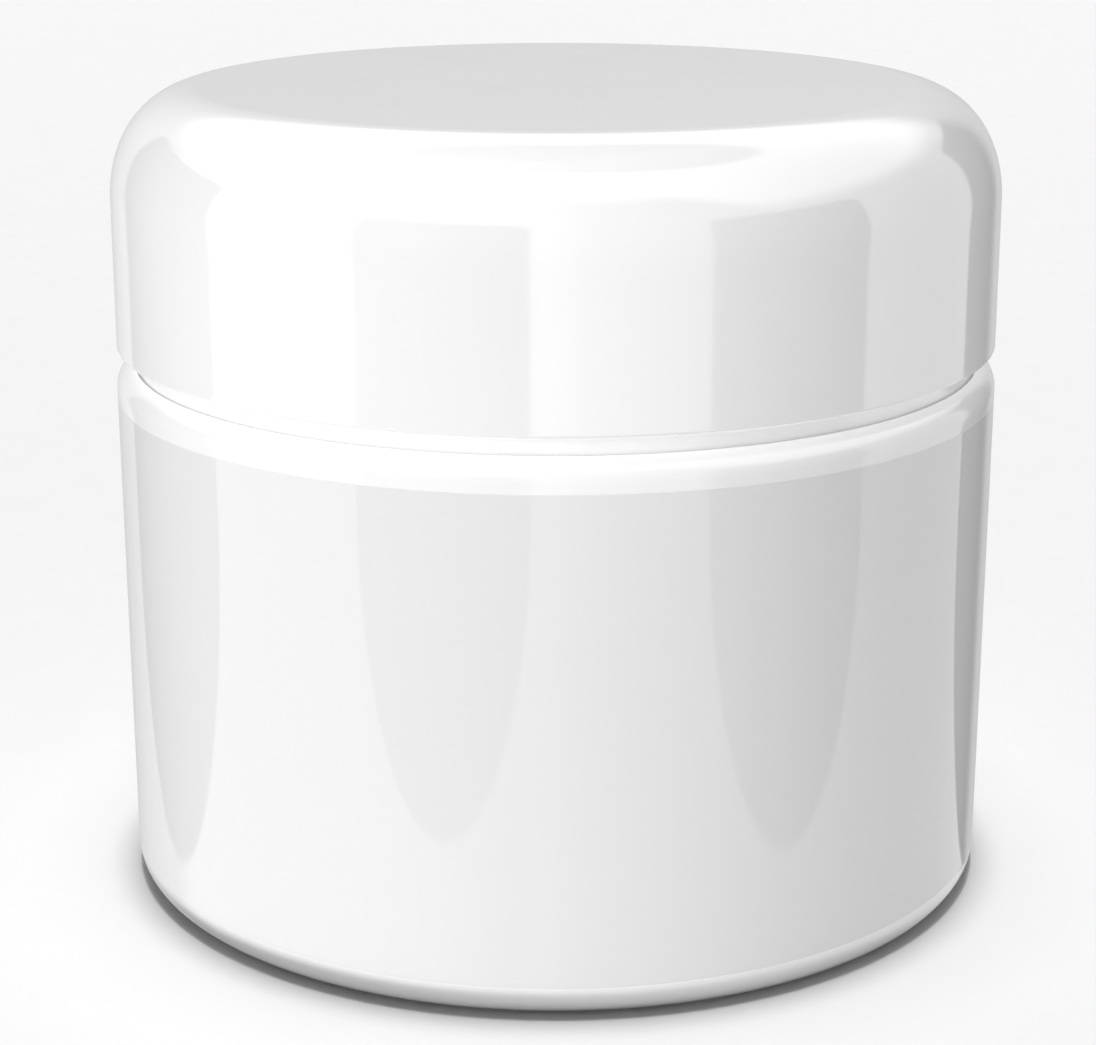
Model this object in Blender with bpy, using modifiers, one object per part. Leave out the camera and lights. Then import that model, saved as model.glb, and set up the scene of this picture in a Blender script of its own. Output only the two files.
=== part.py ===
"""A double-walled cream jar: wrap label, sealing disc with a pull tab, and a domed two-piece screw lid.

Units: every dimension below is in millimetres, and MM turns it into Blender's metres.
The jar stands on z = 0 with its axis on the world Z axis. Profiles are lists of (radius, height).
"""

import math

import bmesh
import bpy
from mathutils import Matrix, Vector

MM = 0.001

# Driving dimensions of the outside.
BODY_RADIUS = 31.0
BODY_DRAFT = 0.0034
BASE_FILLET = 2.0
SHOULDER_FILLET = 1.5
SHOULDER_TOP = 37.2
LID_RADIUS = 30.91
LID_BOTTOM = 38.56
LID_TOP = 56.27
LID_CORNER_RADIAL = 6.2
LID_CORNER_HEIGHT = 7.55
LID_CORNER_EXPONENT = 2.1
COLLAR_RADIUS = 29.55
COLLAR_TOP = 38.35
NECK_RADIUS = 26.2
RIM_TOP = 49.3

# The label lies in a shallow panel in the wall, flush with it. Its butt seam is at the back.
LABEL_BOTTOM = 2.25
LABEL_TOP = 35.05
LABEL_THICKNESS = 0.15
LABEL_END_GAP = 0.05
PANEL_DEPTH = 0.18
LABEL_SEAM = 0.4
BACK = 90

# Outer jar.
JAR_BORE = 29.1
JAR_FLOOR = 2.4
FOOT_INNER_RADIUS = 25.6
FOOT_RECESS = 0.6
LEDGE_TOP = 36.0
REBATE_RADIUS = 29.7
JAR_FLOOR_FILLET = 2.0
SNAP_MIDDLE = 33.65
SNAP_GROOVE_RADIUS = 29.45
SNAP_GROOVE_HALF_HEIGHT = 0.6
SNAP_SLOPE = 0.3

# Four lugs on the cup stand in four slots in the jar's mouth: (inner, outer) radius and (low, high) height.
LUGS = 4
SLOT_RADII = (28.6, 29.75)
SLOT_HEIGHTS = (35.0, 36.4)
SLOT_WIDTH = 3.2
LUG_RADII = (28.7, 29.5)
LUG_HEIGHTS = (35.2, 36.4)
LUG_WIDTH = 2.6

# Inner cup.
CUP_FLOOR = 8.4
CUP_WALL = 1.5
BOWL_FILLET = 12.0
BOWL_TOP_RADIUS = 23.8
MOUTH_RADIUS = 24.4
MOUTH_STEP_RADIUS = 25.15
MOUTH_STEP = 48.2
FLANGE_THICKNESS = 1.75
SKIRT_RADIUS = 28.95
SKIRT_INNER_RADIUS = 27.7
SKIRT_BOTTOM = 31.9
SNAP_BEAD_RADIUS = 29.25
SNAP_BEAD_HALF_HEIGHT = 0.25
LEDGE_GAP = 0.1
EDGE_BREAK = 0.3

# Cream, sealing disc and pull tab.
CREAM_TOP = 40.2
CREAM_GAP = 0.1
CREAM_WAVES = [(0, 0), (5, 0.8), (11, 0.3), (17, 0.9)]
CREAM_EDGE_DROP = 0.4
DISC_WEB_TOP = 46.8
DISC_WEB_BOTTOM = 45.9
DISC_PLUG_RADIUS = 24.15
DISC_PLUG_INNER = 23.2
DISC_PLUG_BOTTOM = 45.2
DISC_FLANGE_RADIUS = 25.0
DISC_FLANGE_TOP = 49.15
DISC_FLANGE_BOTTOM = 48.3
DISC_PLUG_TAPER = 0.1
DISC_EDGE_BREAK = 0.2
TAB_HINGE = (-6.5, 0.0, 47.4)
TAB_LENGTH = 13.0
TAB_WIDTH = 10.0
TAB_THICKNESS = 0.9
TAB_BARREL_RADIUS = 0.45
TAB_BAND = 1.9
TAB_WINDOW_INSET = 0.4
LAND_GAP = 0.15
LAND_LENGTH = 1.6
LAND_EMBED = 0.3

# Lid insert, liner and shell.
LINER_RADIUS = 27.2
LINER_BOTTOM = 49.4
LINER_TOP = 50.7
INSERT_TOP = 52.0
INSERT_CEILING = 50.8
INSERT_RADIUS = 28.55
INSERT_BORE = 27.75
INSERT_BOTTOM = 40.1
# The insert's rounded top edge: (inset, drop) from its radius and its top.
INSERT_SHOULDER = [(1.15, 0), (0.45, 0.6), (0, 1.8)]
INSERT_BEAD_RADIUS = 29.2
INSERT_BEAD_HEIGHT = 1.1
INSERT_BEAD_SLOPE = 0.4
LINER_BEAD_RADIUS = 26.75
# The bead that holds the liner: (radius, how far below the liner).
LINER_BEAD = [(INSERT_BORE, 1.0), (LINER_BEAD_RADIUS, 0.7), (LINER_BEAD_RADIUS, 0.4), (INSERT_BORE, 0.15)]
SHELL_BORE = 29.4
SHELL_CEILING = 54.6
SHELL_RIDGE_RADIUS = 29.0
SHELL_RIDGE_MIDDLE = 39.6
SHELL_RIDGE_HALF_HEIGHT = 0.2
SHELL_RIDGE_SLOPE = 0.25
SHELL_EDGE_BREAK = 0.2
SHELL_CORNER_HEIGHT = 6.2
SHELL_CORNER_RADIAL = 5.6
# A ring under the dome that bears on the insert: root radii, tip radii and its gap above the insert.
BEARING_ROOT = (11.8, 13.2)
BEARING_TIP = (12.0, 13.0)
BEARING_GAP = 0.15

# Ribs that key the shell to the insert: (inner, outer) radius and (low, high) height.
SHELL_RIBS = 12
RIB_WIDTH = 1.6
RIB_OFFSET = 3.8
INSERT_RIB_RADII = (28.2, 29.1)
INSERT_RIB_HEIGHTS = (42.5, 49.5)
SHELL_RIB_RADII = (28.8, 29.9)
SHELL_RIB_HEIGHTS = (42.5, 48.0)

# Three-start thread: the lid rises by one lead in a turn.
THREAD_STARTS = 3
THREAD_LEAD = 12.0
THREAD_EMBED = 0.3
HALF_PITCH = THREAD_LEAD / THREAD_STARTS / 2
NECK_THREAD = {
    "crest": 27.35,
    "root_width": 2.6,
    "crest_width": 1.4,
    "first": 40.1,
    "sweep": 195,
    "offset": 0,
}
LID_THREAD = {
    "crest": 26.5,
    "root_width": 2.4,
    "crest_width": 1.2,
    "first": 41.6,
    "sweep": 150,
    "offset": HALF_PITCH,
}
THREAD_TAPER = 15
THREAD_STEP = 7.5

# Facets around each turned piece.
VISIBLE_SEGMENTS = 64
HIDDEN_SEGMENTS = 48

WHITE = (0.93, 0.93, 0.93, 1)
COLOURS = {
    "outer_jar": (WHITE, 0.16),
    "inner_cup": (WHITE, 0.22),
    "wrap_label": ((0.84, 0.84, 0.84, 1), 0.12),
    "cream": ((0.95, 0.92, 0.86, 1), 0.35),
    "sealing_disc": ((0.92, 0.93, 0.94, 1), 0.4),
    "disc_pull_tab": ((0.92, 0.93, 0.94, 1), 0.4),
    "lid_liner": ((0.96, 0.96, 0.95, 1), 0.85),
    "lid_insert": ((0.94, 0.94, 0.93, 1), 0.3),
    "lid_shell": (WHITE, 0.1),
}


def clear_scene():
    for obj in list(bpy.data.objects):
        bpy.data.objects.remove(obj, do_unlink=True)


def new_collection(name):
    collection = bpy.data.collections.new(name)
    bpy.context.scene.collection.children.link(collection)
    return collection


def plastic(name):
    colour, roughness = COLOURS[name]
    material = bpy.data.materials.new(name)
    material.use_nodes = True
    shader = material.node_tree.nodes["Principled BSDF"]
    shader.inputs["Base Color"].default_value = colour
    shader.inputs["Roughness"].default_value = roughness
    shader.inputs["Metallic"].default_value = 0
    material.diffuse_color = colour
    return material


# Profile helpers: each returns (radius, height) points in millimetres.


def arc(centre, radius, start, end, steps):
    """Points on a circle from start to end degrees, both included."""
    angles = [math.radians(start + (end - start) * i / steps) for i in range(steps + 1)]
    return [(centre[0] + radius * math.cos(a), centre[1] + radius * math.sin(a)) for a in angles]


def domed_corner(outer_radius, top, radial, height, steps):
    """A superellipse corner, from the flat top out and down to the straight wall."""
    power = 2 / LID_CORNER_EXPONENT
    angles = [math.pi / 2 * (1 - i / steps) for i in range(steps + 1)]
    return [
        (
            outer_radius - radial + radial * max(math.cos(a), 0) ** power,
            top - height + height * math.sin(a) ** power,
        )
        for a in angles
    ]


def wall_radius(height):
    """The jar narrows slightly towards its base."""
    return BODY_RADIUS - BODY_DRAFT * (SHOULDER_TOP - SHOULDER_FILLET - height)


def snap_bump(wall, peak, middle, half_height, slope, upward):
    """A bead or groove across a straight wall, as four points."""
    points = [
        (wall, middle - half_height - slope),
        (peak, middle - half_height),
        (peak, middle + half_height),
        (wall, middle + half_height + slope),
    ]
    return points if upward else points[::-1]


# Object helpers.


def mesh_object(name, mesh, collection):
    obj = bpy.data.objects.new(name, mesh)
    collection.objects.link(obj)
    return obj


def turned(name, profile, segments, collection, closed=False):
    """Turns a profile about Z with a Screw modifier. A closed profile is a ring."""
    mesh = bpy.data.meshes.new(name)
    edges = [(i, i + 1) for i in range(len(profile) - 1)]
    if closed:
        edges.append((len(profile) - 1, 0))
    mesh.from_pydata([(r * MM, 0, z * MM) for r, z in profile], edges, [])
    obj = mesh_object(name, mesh, collection)
    screw = obj.modifiers.new("turn", "SCREW")
    screw.axis = "Z"
    screw.angle = math.tau
    screw.steps = segments
    screw.render_steps = segments
    screw.use_merge_vertices = True
    screw.merge_threshold = 0.00001
    screw.use_smooth_shade = True
    return obj


def helper(obj):
    obj.hide_render = True
    obj.display_type = "WIRE"
    return obj


def boolean(obj, operation, tool):
    modifier = obj.modifiers.new(operation.lower() + " " + tool.name, "BOOLEAN")
    modifier.operation = operation
    modifier.object = tool
    modifier.solver = "EXACT"


def boxes_around(name, count, radii, heights, width, collection, offset=0.0):
    """One helper mesh of boxes spaced evenly around the axis, from radii[0] to radii[1]."""
    low = Vector((radii[0], -width / 2, heights[0])) * MM
    high = Vector((radii[1], width / 2, heights[1])) * MM
    stretch = Matrix.Diagonal((*(high - low), 1))
    place = Matrix.Translation((low + high) / 2) @ stretch
    bm = bmesh.new()
    for i in range(count):
        turn = Matrix.Rotation(math.tau * i / count + math.radians(offset), 4, "Z")
        bmesh.ops.create_cube(bm, size=1, matrix=turn @ place)
    mesh = bpy.data.meshes.new(name)
    bm.to_mesh(mesh)
    bm.free()
    return helper(mesh_object(name, mesh, collection))


def thread_ridges(name, thread, wall, outward, collection):
    """Right-handed helical ridges, one for each start, whose crests sink into the wall at both ends."""
    root = wall - THREAD_EMBED if outward else wall + THREAD_EMBED
    buried = wall - THREAD_EMBED / 3 if outward else wall + THREAD_EMBED / 3
    steps = int(thread["sweep"] / THREAD_STEP)
    start_angle = 360 * (thread["first"] - NECK_THREAD["first"] - thread["offset"]) / THREAD_LEAD
    bm = bmesh.new()
    for start in range(THREAD_STARTS):
        sections = []
        for i in range(steps + 1):
            along = i * THREAD_STEP
            ramp = min(1, along / THREAD_TAPER, (thread["sweep"] - along) / THREAD_TAPER)
            crest = buried + (thread["crest"] - buried) * ramp
            height = thread["first"] + THREAD_LEAD * along / 360
            angle = math.radians(start_angle + along + 360 * start / THREAD_STARTS)
            half_root = thread["root_width"] / 2
            half_crest = thread["crest_width"] / 2
            corners = [
                (root, height - half_root),
                (crest, height - half_crest),
                (crest, height + half_crest),
                (root, height + half_root),
            ]
            sections.append(
                [
                    bm.verts.new((r * MM * math.cos(angle), r * MM * math.sin(angle), z * MM))
                    for r, z in corners
                ]
            )
        for lower, upper in zip(sections, sections[1:]):
            for k in range(4):
                bm.faces.new((lower[k], lower[k - 1], upper[k - 1], upper[k]))
        bm.faces.new(sections[0])
        bm.faces.new(sections[-1][::-1])
    bmesh.ops.recalc_face_normals(bm, faces=bm.faces)
    mesh = bpy.data.meshes.new(name)
    bm.to_mesh(mesh)
    bm.free()
    return helper(mesh_object(name, mesh, collection))


# The pieces.


def make_outer_jar(parts, tools):
    shoulder_centre = (BODY_RADIUS - SHOULDER_FILLET, SHOULDER_TOP - SHOULDER_FILLET)
    fillet_start = math.degrees(math.acos((REBATE_RADIUS - shoulder_centre[0]) / SHOULDER_FILLET))
    base_centre = (wall_radius(BASE_FILLET) - BASE_FILLET, BASE_FILLET)
    floor_centre = (JAR_BORE - JAR_FLOOR_FILLET, JAR_FLOOR + JAR_FLOOR_FILLET)
    panel_top = LABEL_TOP + LABEL_END_GAP
    panel_bottom = LABEL_BOTTOM - LABEL_END_GAP
    profile = [
        (0, JAR_FLOOR),
        *arc(floor_centre, JAR_FLOOR_FILLET, -90, 0, 3),
        *snap_bump(
            JAR_BORE, SNAP_GROOVE_RADIUS, SNAP_MIDDLE, SNAP_GROOVE_HALF_HEIGHT, SNAP_SLOPE, upward=True
        ),
        (JAR_BORE, LEDGE_TOP),
        (REBATE_RADIUS, LEDGE_TOP),
        *arc(shoulder_centre, SHOULDER_FILLET, fillet_start, 0, 5),
        (wall_radius(panel_top), panel_top),
        (wall_radius(panel_top) - PANEL_DEPTH, panel_top),
        (wall_radius(panel_bottom) - PANEL_DEPTH, panel_bottom),
        (wall_radius(panel_bottom), panel_bottom),
        *arc(base_centre, BASE_FILLET, 0, -90, 4),
        (FOOT_INNER_RADIUS, 0),
        (FOOT_INNER_RADIUS - FOOT_RECESS, FOOT_RECESS),
        (0, FOOT_RECESS),
    ]
    jar = turned("outer_jar", profile, VISIBLE_SEGMENTS, parts)
    slots = boxes_around("lug_slots", LUGS, SLOT_RADII, SLOT_HEIGHTS, SLOT_WIDTH, tools)
    boolean(jar, "DIFFERENCE", slots)
    return jar


def cup_inside(gap, top):
    """The bowl's inner surface from its centre to the straight wall, moved in by gap, up to a height."""
    wall_slope = (MOUTH_RADIUS - BOWL_TOP_RADIUS) / (MOUTH_STEP - CUP_FLOOR - BOWL_FILLET)
    bowl_centre = (BOWL_TOP_RADIUS - BOWL_FILLET, CUP_FLOOR + BOWL_FILLET)
    top_radius = BOWL_TOP_RADIUS + wall_slope * (top - CUP_FLOOR - BOWL_FILLET)
    return [
        (0, CUP_FLOOR + gap),
        *arc(bowl_centre, BOWL_FILLET - gap, -90, 0, 6),
        (top_radius - gap, top),
    ]


def make_inner_cup(parts, tools):
    bowl_centre = (BOWL_TOP_RADIUS - BOWL_FILLET, CUP_FLOOR + BOWL_FILLET)
    flange_bottom = COLLAR_TOP - FLANGE_THICKNESS
    profile = [
        *cup_inside(0, MOUTH_STEP),
        (MOUTH_STEP_RADIUS, MOUTH_STEP),
        (MOUTH_STEP_RADIUS, RIM_TOP - EDGE_BREAK),
        (MOUTH_STEP_RADIUS + EDGE_BREAK, RIM_TOP),
        (NECK_RADIUS - EDGE_BREAK, RIM_TOP),
        (NECK_RADIUS, RIM_TOP - EDGE_BREAK),
        (NECK_RADIUS, COLLAR_TOP),
        (COLLAR_RADIUS - EDGE_BREAK, COLLAR_TOP),
        (COLLAR_RADIUS, COLLAR_TOP - EDGE_BREAK),
        (COLLAR_RADIUS, LEDGE_TOP + LEDGE_GAP),
        (SKIRT_RADIUS, LEDGE_TOP + LEDGE_GAP),
        *snap_bump(
            SKIRT_RADIUS, SNAP_BEAD_RADIUS, SNAP_MIDDLE, SNAP_BEAD_HALF_HEIGHT, SNAP_SLOPE, upward=False
        ),
        (SKIRT_RADIUS, SKIRT_BOTTOM + EDGE_BREAK),
        (SKIRT_RADIUS - EDGE_BREAK, SKIRT_BOTTOM),
        (SKIRT_INNER_RADIUS, SKIRT_BOTTOM),
        (SKIRT_INNER_RADIUS, flange_bottom),
        (BOWL_TOP_RADIUS + CUP_WALL, flange_bottom),
        *arc(bowl_centre, BOWL_FILLET + CUP_WALL, 0, -90, 6),
        (0, CUP_FLOOR - CUP_WALL),
    ]
    cup = turned("inner_cup", profile, HIDDEN_SEGMENTS, parts)
    boolean(cup, "UNION", thread_ridges("neck_thread", NECK_THREAD, NECK_RADIUS, True, tools))
    boolean(cup, "UNION", boxes_around("lugs", LUGS, LUG_RADII, LUG_HEIGHTS, LUG_WIDTH, tools))
    return cup


def make_wrap_label(parts, tools):
    profile = [
        (wall_radius(LABEL_TOP), LABEL_TOP),
        (wall_radius(LABEL_BOTTOM), LABEL_BOTTOM),
        (wall_radius(LABEL_BOTTOM) - LABEL_THICKNESS, LABEL_BOTTOM),
        (wall_radius(LABEL_TOP) - LABEL_THICKNESS, LABEL_TOP),
    ]
    label = turned("wrap_label", profile, VISIBLE_SEGMENTS, parts, closed=True)
    radii = (BODY_RADIUS - 1, BODY_RADIUS + 1)
    seam = boxes_around("label_seam", 1, radii, (0, SHOULDER_TOP), LABEL_SEAM, tools, offset=BACK)
    boolean(label, "DIFFERENCE", seam)
    return label


def make_cream(parts):
    surface = [(radius, CREAM_TOP - drop) for radius, drop in CREAM_WAVES]
    profile = surface + cup_inside(CREAM_GAP, CREAM_TOP - CREAM_EDGE_DROP)[::-1]
    return turned("cream", profile, HIDDEN_SEGMENTS, parts)


def make_sealing_disc(parts, tools):
    profile = [
        (0, DISC_WEB_TOP),
        (DISC_PLUG_INNER, DISC_WEB_TOP),
        (DISC_PLUG_INNER, DISC_FLANGE_TOP - DISC_EDGE_BREAK),
        (DISC_PLUG_INNER + DISC_EDGE_BREAK, DISC_FLANGE_TOP),
        (DISC_FLANGE_RADIUS - DISC_EDGE_BREAK, DISC_FLANGE_TOP),
        (DISC_FLANGE_RADIUS, DISC_FLANGE_TOP - DISC_EDGE_BREAK),
        (DISC_FLANGE_RADIUS, DISC_FLANGE_BOTTOM),
        (DISC_PLUG_RADIUS, DISC_FLANGE_BOTTOM),
        (DISC_PLUG_RADIUS - DISC_PLUG_TAPER, DISC_PLUG_BOTTOM),
        (DISC_PLUG_INNER, DISC_PLUG_BOTTOM),
        (DISC_PLUG_INNER, DISC_WEB_BOTTOM),
        (0, DISC_WEB_BOTTOM),
    ]
    disc = turned("sealing_disc", profile, HIDDEN_SEGMENTS, parts)
    land_front = TAB_HINGE[0] - TAB_BARREL_RADIUS - LAND_GAP
    heights = (DISC_WEB_BOTTOM + LAND_EMBED, TAB_HINGE[2] + TAB_BARREL_RADIUS)
    radii = (-land_front, LAND_LENGTH - land_front)
    land = boxes_around("hinge_land", 1, radii, heights, TAB_WIDTH, tools, offset=180)
    boolean(disc, "UNION", land)
    return disc


def tab_outline(curve, start, half_width, steps):
    """A strip with a round far end, as one closed poly spline in the XY plane."""
    centre = TAB_LENGTH - TAB_WIDTH / 2
    points = [(start, -half_width), *arc((centre, 0), half_width, -90, 90, steps), (start, half_width)]
    spline = curve.splines.new("POLY")
    spline.points.add(len(points) - 1)
    for point, (x, y) in zip(spline.points, points):
        point.co = (x * MM, y * MM, 0, 1)
    spline.use_cyclic_u = True


def make_pull_tab(parts, tools, disc):
    curve = bpy.data.curves.new("tab_outline", "CURVE")
    curve.dimensions = "2D"
    curve.fill_mode = "BOTH"
    curve.extrude = TAB_THICKNESS / 2 * MM
    tab_outline(curve, 0, TAB_WIDTH / 2, 12)
    tab_outline(curve, TAB_BAND + TAB_WINDOW_INSET, TAB_WIDTH / 2 - TAB_BAND, 10)
    flat = mesh_object("tab_flat", curve, tools)
    graph = bpy.context.evaluated_depsgraph_get()
    mesh = bpy.data.meshes.new_from_object(flat.evaluated_get(graph))
    bpy.data.objects.remove(flat)
    bm = bmesh.new()
    bm.from_mesh(mesh)
    bmesh.ops.remove_doubles(bm, verts=bm.verts, dist=0.000001)
    bm.to_mesh(mesh)
    bm.free()
    tab = mesh_object("disc_pull_tab", mesh, parts)
    tab.parent = disc
    tab.location = Vector(TAB_HINGE) * MM

    barrel = bpy.data.meshes.new("tab_barrel")
    bm = bmesh.new()
    radius = TAB_BARREL_RADIUS * MM
    along_y = Matrix.Translation(tab.location) @ Matrix.Rotation(math.pi / 2, 4, "X")
    bmesh.ops.create_cone(
        bm, cap_ends=True, segments=12, radius1=radius, radius2=radius, depth=TAB_WIDTH * MM, matrix=along_y
    )
    bm.to_mesh(barrel)
    bm.free()
    boolean(tab, "UNION", helper(mesh_object("tab_barrel", barrel, tools)))
    return tab


def make_lid_liner(parts):
    profile = [
        (0, LINER_TOP),
        (LINER_RADIUS, LINER_TOP),
        (LINER_RADIUS, LINER_BOTTOM),
        (0, LINER_BOTTOM),
    ]
    return turned("lid_liner", profile, HIDDEN_SEGMENTS, parts)


def make_lid_insert(parts, tools):
    profile = [
        (0, INSERT_TOP),
        *[(INSERT_RADIUS - inset, INSERT_TOP - drop) for inset, drop in INSERT_SHOULDER],
        (INSERT_RADIUS, INSERT_BOTTOM + INSERT_BEAD_HEIGHT + INSERT_BEAD_SLOPE),
        (INSERT_BEAD_RADIUS, INSERT_BOTTOM + INSERT_BEAD_HEIGHT),
        (INSERT_BEAD_RADIUS, INSERT_BOTTOM),
        (INSERT_BORE, INSERT_BOTTOM),
        *[(radius, LINER_BOTTOM - drop) for radius, drop in LINER_BEAD],
        (INSERT_BORE, INSERT_CEILING),
        (0, INSERT_CEILING),
    ]
    insert = turned("lid_insert", profile, HIDDEN_SEGMENTS, parts)
    boolean(insert, "UNION", thread_ridges("lid_thread", LID_THREAD, INSERT_BORE, False, tools))
    ribs = boxes_around(
        "insert_ribs", SHELL_RIBS, INSERT_RIB_RADII, INSERT_RIB_HEIGHTS, RIB_WIDTH, tools
    )
    boolean(insert, "UNION", ribs)
    return insert


def make_lid_shell(parts, tools):
    profile = [
        (0, LID_TOP),
        *domed_corner(LID_RADIUS, LID_TOP, LID_CORNER_RADIAL, LID_CORNER_HEIGHT, 12),
        (LID_RADIUS, LID_BOTTOM + SHELL_EDGE_BREAK),
        (LID_RADIUS - SHELL_EDGE_BREAK, LID_BOTTOM),
        (SHELL_BORE + SHELL_EDGE_BREAK, LID_BOTTOM),
        *snap_bump(
            SHELL_BORE,
            SHELL_RIDGE_RADIUS,
            SHELL_RIDGE_MIDDLE,
            SHELL_RIDGE_HALF_HEIGHT,
            SHELL_RIDGE_SLOPE,
            upward=True,
        ),
        *domed_corner(SHELL_BORE, SHELL_CEILING, SHELL_CORNER_RADIAL, SHELL_CORNER_HEIGHT, 7)[::-1],
        (BEARING_ROOT[1], SHELL_CEILING),
        (BEARING_TIP[1], INSERT_TOP + BEARING_GAP),
        (BEARING_TIP[0], INSERT_TOP + BEARING_GAP),
        (BEARING_ROOT[0], SHELL_CEILING),
        (0, SHELL_CEILING),
    ]
    shell = turned("lid_shell", profile, VISIBLE_SEGMENTS, parts)
    ribs = boxes_around(
        "shell_ribs", SHELL_RIBS, SHELL_RIB_RADII, SHELL_RIB_HEIGHTS, RIB_WIDTH, tools, offset=RIB_OFFSET
    )
    boolean(shell, "UNION", ribs)
    return shell


def hang_on_lid_axis(children, parts):
    """An empty on the jar's axis, so that the lid's pieces turn and lift together."""
    pivot = bpy.data.objects.new("lid_axis", None)
    parts.objects.link(pivot)
    for child in children:
        child.parent = pivot


def main():
    clear_scene()
    parts = new_collection("cream_jar")
    tools = new_collection("cutters")
    jar = make_outer_jar(parts, tools)
    cup = make_inner_cup(parts, tools)
    label = make_wrap_label(parts, tools)
    cream = make_cream(parts)
    disc = make_sealing_disc(parts, tools)
    tab = make_pull_tab(parts, tools, disc)
    liner = make_lid_liner(parts)
    insert = make_lid_insert(parts, tools)
    shell = make_lid_shell(parts, tools)
    hang_on_lid_axis((insert, shell), parts)
    for obj in (jar, cup, label, cream, disc, tab, liner, insert, shell):
        obj.data.materials.append(plastic(obj.name))


main()
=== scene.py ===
"""The looks of a double-walled cream jar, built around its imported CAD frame.

Lengths in this script are in millimetres, and MM turns them into metres. Profiles are lists of
(radius, height, fillet), turned about the jar's axis, which is the world Z axis. The front faces -Y.
"""

import math

import bmesh
import bpy
from mathutils import Euler, Matrix, Vector, noise


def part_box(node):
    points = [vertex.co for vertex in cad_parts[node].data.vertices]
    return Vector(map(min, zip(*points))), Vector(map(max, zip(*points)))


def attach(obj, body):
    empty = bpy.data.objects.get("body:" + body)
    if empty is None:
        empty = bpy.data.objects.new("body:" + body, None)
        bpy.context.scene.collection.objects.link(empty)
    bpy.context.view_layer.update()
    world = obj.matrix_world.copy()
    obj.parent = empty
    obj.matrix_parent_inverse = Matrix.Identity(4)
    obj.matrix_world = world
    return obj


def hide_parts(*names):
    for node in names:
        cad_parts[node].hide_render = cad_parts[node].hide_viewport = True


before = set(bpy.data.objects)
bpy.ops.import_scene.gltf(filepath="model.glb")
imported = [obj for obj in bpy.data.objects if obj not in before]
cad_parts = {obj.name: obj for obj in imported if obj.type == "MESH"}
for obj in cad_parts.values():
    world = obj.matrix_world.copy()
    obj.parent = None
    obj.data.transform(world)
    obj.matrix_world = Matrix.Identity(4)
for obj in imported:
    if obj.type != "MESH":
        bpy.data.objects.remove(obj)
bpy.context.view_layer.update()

MM = 0.001


def top_of(node):
    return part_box(node)[1].z / MM


def bottom_of(node):
    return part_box(node)[0].z / MM


def radius_of(node):
    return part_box(node)[1].x / MM


# Sizes read from the frame.
BODY_RADIUS = radius_of("outer_jar")
LID_RADIUS = radius_of("lid_shell")
LID_BOTTOM = bottom_of("lid_shell")
LID_TOP = top_of("lid_shell")
COLLAR_RADIUS = radius_of("inner_cup")
RIM_TOP = top_of("inner_cup")
LABEL_BOTTOM = bottom_of("wrap_label")
LABEL_TOP = top_of("wrap_label")
CREAM_TOP = top_of("cream")
DISC_FLANGE_TOP = top_of("sealing_disc")
DISC_FLANGE_RADIUS = radius_of("sealing_disc")
LINER_RADIUS = radius_of("lid_liner")
LINER_BOTTOM = bottom_of("lid_liner")
LINER_TOP = top_of("lid_liner")
INSERT_TOP = top_of("lid_insert")
INSERT_BOTTOM = bottom_of("lid_insert")

# The small fillets that the moulds share, from a nearly sharp lip to a broken edge.
LIP_FILLET = 0.02
CREST_FILLET = 0.08
FINE_FILLET = 0.1
SMALL_FILLET = 0.15
EDGE_FILLET = 0.2
SOFT_FILLET = 0.25
EDGE_BREAK = 0.3

# Outside of the pot. The draft is the radius lost in each millimetre downwards, and the label lies in a
# panel that is a little deeper and taller than the film. Its seam is the gap between the film's ends.
BODY_DRAFT = 0.0034
BASE_FILLET = 2.0
SHOULDER_TOP = 37.2
SHOULDER_FILLET = 1.5
LABEL_THICKNESS = 0.15
LABEL_END_GAP = 0.005
LABEL_EDGE = 0.01
PANEL_DEPTH = 0.18
LABEL_SEAM = 0.4

# Outer jar, with a groove and slots that hold the cup.
JAR_BORE = 29.1
JAR_FLOOR = 2.4
JAR_FLOOR_FILLET = 2.0
FOOT_INNER_RADIUS = 25.6
FOOT_RECESS = 0.6
LEDGE_TOP = 36.0
REBATE_RADIUS = 29.7
SNAP_MIDDLE = 33.65
SNAP_GROOVE_RADIUS = 29.45
SNAP_GROOVE_HALF = 0.6
SNAP_BEAD_HALF = 0.25
SNAP_SLOPE = 0.3
LUGS = 4
SLOT_RADII = (28.6, 29.75)
SLOT_HEIGHTS = (35.0, 36.4)
SLOT_WIDTH = 3.2
LUG_RADII = (28.7, 29.5)
LUG_HEIGHTS = (35.2, 36.4)
LUG_WIDTH = 2.6

# Inner cup, with a step in its mouth for the sealing disc.
COLLAR_TOP = 38.35
NECK_RADIUS = 26.2
CUP_FLOOR = 8.4
CUP_WALL = 1.5
BOWL_FILLET = 12.0
BOWL_TOP_RADIUS = 23.8
MOUTH_RADIUS = 24.4
MOUTH_STEP_RADIUS = 25.15
MOUTH_STEP = 48.2
FLANGE_THICKNESS = 1.75
SKIRT_RADIUS = 28.95
SKIRT_INNER_RADIUS = 27.7
SKIRT_BOTTOM = 31.9
SNAP_BEAD_RADIUS = 29.25
LEDGE_GAP = 0.1

# Cream: a shallow spiral left by the filling nozzle, with a finer ripple over it.
CREAM_GAP = 0.1
CREAM_SWIRL_PITCH = 7.5
CREAM_SWIRL_DEPTH = 1.1
CREAM_RIPPLE = 0.12
CREAM_RIPPLES_PER_MM = 0.35
CREAM_PEAK_RADIUS = 3.0
CREAM_PEAK_RISE = 0.25
CREAM_WALL_FADE = 3.0
CREAM_EDGE_DROP = 0.5
CREAM_WALL_MARGIN = 0.4
CREAM_RINGS = 56

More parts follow.
